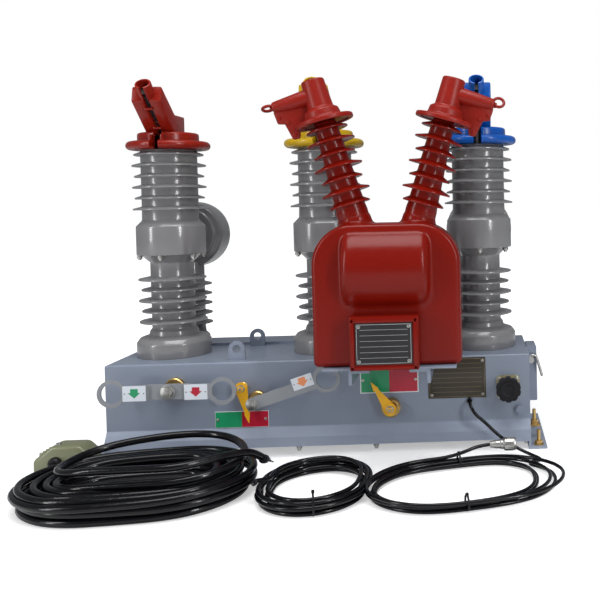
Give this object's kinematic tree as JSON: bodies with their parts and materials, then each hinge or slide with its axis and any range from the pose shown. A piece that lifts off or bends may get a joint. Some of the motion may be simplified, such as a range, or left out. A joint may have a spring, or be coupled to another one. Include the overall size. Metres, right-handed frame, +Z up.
{
  "type": "pole-mounted recloser",
  "caption": "Outdoor pole-mounted recloser: folded steel tank with resin poles, current transformers, a voltage transformer, hook-stick levers, pointers and coiled leads.",
  "frame": {"origin": "middle of the four foot bolts, on the plane under the foot rails", "axes": "+X to the right along the tank, -Y towards the operating side, +Z up"},
  "size_m": [1.0531, 0.722, 0.7898],
  "materials": {
    "tank_paint": "semi-gloss grey enamel on folded steel",
    "grey_resin": "glossy grey outdoor epoxy resin",
    "red_resin": "glossy brown-red outdoor epoxy resin",
    "red_silicone": "satin red silicone",
    "yellow_silicone": "satin yellow silicone",
    "blue_silicone": "satin blue silicone",
    "plated_steel": "zinc-plated steel",
    "copper_bar": "bare copper bar, slightly tarnished",
    "brass_boss": "yellow passivated fittings",
    "black_plate": "black anodised plate with no lettering",
    "sign_plate": "green and red enamelled sign plate",
    "yellow_paint": "yellow enamel on sheet steel",
    "black_plastic": "black moulded plastic",
    "cable_jacket": "black cable sheath, slightly shiny",
    "olive_hood": "olive-grey enamelled cast hood"
  },
  "bodies": {
    "recloser": {"tank_shell": "tank_paint", "foot_rail_left": "tank_paint", "foot_rail_right": "tank_paint", "pole_left": "grey_resin", "current_transformer_left": "grey_resin", "terminal_stud_left": "plated_steel", "outgoing_terminal_left": "copper_bar", "pole_centre": "grey_resin", "current_transformer_centre": "grey_resin", "terminal_stud_centre": "plated_steel", "outgoing_terminal_centre": "copper_bar", "pole_right": "grey_resin", "current_transformer_right": "grey_resin", "terminal_stud_right": "plated_steel", "outgoing_terminal_right": "copper_bar", "terminal_cover_left": "red_silicone", "terminal_cover_centre": "yellow_silicone", "terminal_cover_right": "blue_silicone", "ct_shelf": "tank_paint", "vt_body": "red_resin", "vt_bushing_left": "red_resin", "vt_cap_left": "red_silicone", "vt_arm_left": "plated_steel", "vt_bushing_right": "red_resin", "vt_cap_right": "red_silicone", "vt_arm_right": "plated_steel", "vt_terminal_box": "red_resin", "vt_nameplate": "black_plate", "vt_base_plate": "plated_steel", "operating_boss": "brass_boss", "charge_boss": "brass_boss", "charge_pointer_boss": "brass_boss", "position_pointer_boss": "brass_boss", "charge_sign": "sign_plate", "position_sign": "sign_plate", "nameplate": "black_plate", "lifting_lugs": "tank_paint", "control_socket": "plated_steel", "socket_cap": "black_plastic", "side_box": "tank_paint", "side_latch": "plated_steel", "earth_stud_upper": "brass_boss", "earth_stud_lower": "brass_boss", "wall_plug": "plated_steel", "cable_gland": "black_plastic", "signal_lead_tube": "cable_jacket", "signal_lead_coil": "cable_jacket", "control_cable_coil": "cable_jacket", "control_cable_tube": "cable_jacket", "signal_plug": "plated_steel", "sensing_lead_coil": "cable_jacket", "control_hood": "olive_hood"},
    "operating_lever_body": {"operating_lever": "tank_paint"},
    "charge_lever_body": {"charge_lever": "tank_paint"},
    "charge_pointer_body": {"charge_pointer": "yellow_paint"},
    "position_pointer_body": {"position_pointer": "yellow_paint"}
  },
  "joints": [
    {"name": "operating_swing", "type": "hinge", "parent": "recloser", "child": "operating_lever_body", "pos_m": [-0.2965, -0.168, 0.1515], "axis": [0, 1, 0], "range_deg": [-22, 22]},
    {"name": "charge_swing", "type": "hinge", "parent": "recloser", "child": "charge_lever_body", "pos_m": [-0.128, -0.168, 0.1225], "axis": [0, 1, 0], "range_deg": [0, 40]},
    {"name": "charge_indicator", "type": "hinge", "parent": "recloser", "child": "charge_pointer_body", "pos_m": [-0.158, -0.137, 0.148], "axis": [0, 1, 0], "range_deg": [0, 22]},
    {"name": "position_indicator", "type": "hinge", "parent": "recloser", "child": "position_pointer_body", "pos_m": [0.147, -0.141, 0.096], "axis": [0, 1, 0], "range_deg": [0, 68]}
  ]
}
